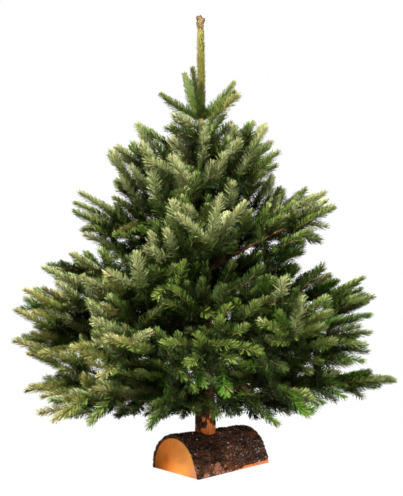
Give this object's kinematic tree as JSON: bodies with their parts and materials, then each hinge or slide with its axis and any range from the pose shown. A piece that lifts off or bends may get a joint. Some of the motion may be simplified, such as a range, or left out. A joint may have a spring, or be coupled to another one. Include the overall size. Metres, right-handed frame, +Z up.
{
  "type": "christmas tree",
  "caption": "Cut young fir with its full crown of boughs and needles, pegged upright into a bark-covered half-log stand.",
  "frame": {"origin": "on the floor, at the flat sawn underside of the half log, directly below the foot of the trunk", "axes": "+Z up along the trunk, X along the length of the half log, Y across it"},
  "size_m": [0.9668, 0.8691, 1.25],
  "materials": {
    "log_bark": "rough bark, sawn orange-brown ends",
    "trunk_bark": "rough young bark, shaved at the foot",
    "limb_bark": "thin grey-brown bark",
    "needles_sage": "satin grey-green needles",
    "needles_olive": "satin olive-green needles",
    "needles_green": "satin fresh green needles"
  },
  "bodies": {
    "root": {"bough_4_right": "limb_bark", "bough_5_back": "limb_bark", "bough_5_back_left": "limb_bark", "bough_5_front_left": "limb_bark", "bough_5_front_right": "limb_bark", "bough_5_left": "limb_bark", "bough_5_right": "limb_bark", "bough_6_back": "limb_bark", "bough_6_back_right": "limb_bark", "bough_6_front": "limb_bark", "bough_6_front_left": "limb_bark", "bough_6_left": "limb_bark", "bough_6_right": "limb_bark", "bough_7_back_left": "limb_bark", "bough_7_back_right": "limb_bark", "bough_7_front": "limb_bark", "bough_7_front_left": "limb_bark", "bough_7_front_right": "limb_bark", "bough_7_left": "limb_bark", "bough_7_right": "limb_bark", "foliage_1_back_left": "needles_sage", "foliage_1_front": "needles_sage", "foliage_1_front_right": "needles_sage", "foliage_1_left": "needles_sage", "foliage_1_right": "needles_sage", "foliage_2_back": "needles_sage", "foliage_2_back_right": "needles_sage", "foliage_2_front": "needles_sage", "foliage_2_left": "needles_sage", "foliage_3_back_left": "needles_sage", "foliage_3_back_right": "needles_sage", "foliage_3_front_left": "needles_sage", "foliage_3_front_right": "needles_sage", "foliage_3_left": "needles_sage", "foliage_4_back": "needles_olive", "foliage_4_back_right": "needles_olive", "foliage_4_front": "needles_olive", "foliage_4_left": "needles_olive", "foliage_4_right": "needles_olive", "foliage_5_back": "needles_olive", "foliage_5_back_left": "needles_olive", "foliage_5_front_left": "needles_olive", "foliage_5_front_right": "needles_olive", "foliage_5_left": "needles_olive", "foliage_5_right": "needles_olive", "foliage_6_back": "needles_green", "foliage_6_back_right": "needles_green", "foliage_6_front": "needles_green", "foliage_6_front_left": "needles_green", "foliage_6_left": "needles_green", "foliage_6_right": "needles_green", "foliage_7_back_left": "needles_green", "foliage_7_back_right": "needles_green", "foliage_7_front": "needles_green", "foliage_7_front_left": "needles_green", "foliage_7_front_right": "needles_green", "foliage_7_left": "needles_green", "foliage_7_right": "needles_green", "log_stand": "log_bark", "trunk": "trunk_bark"}
  },
  "joints": []
}
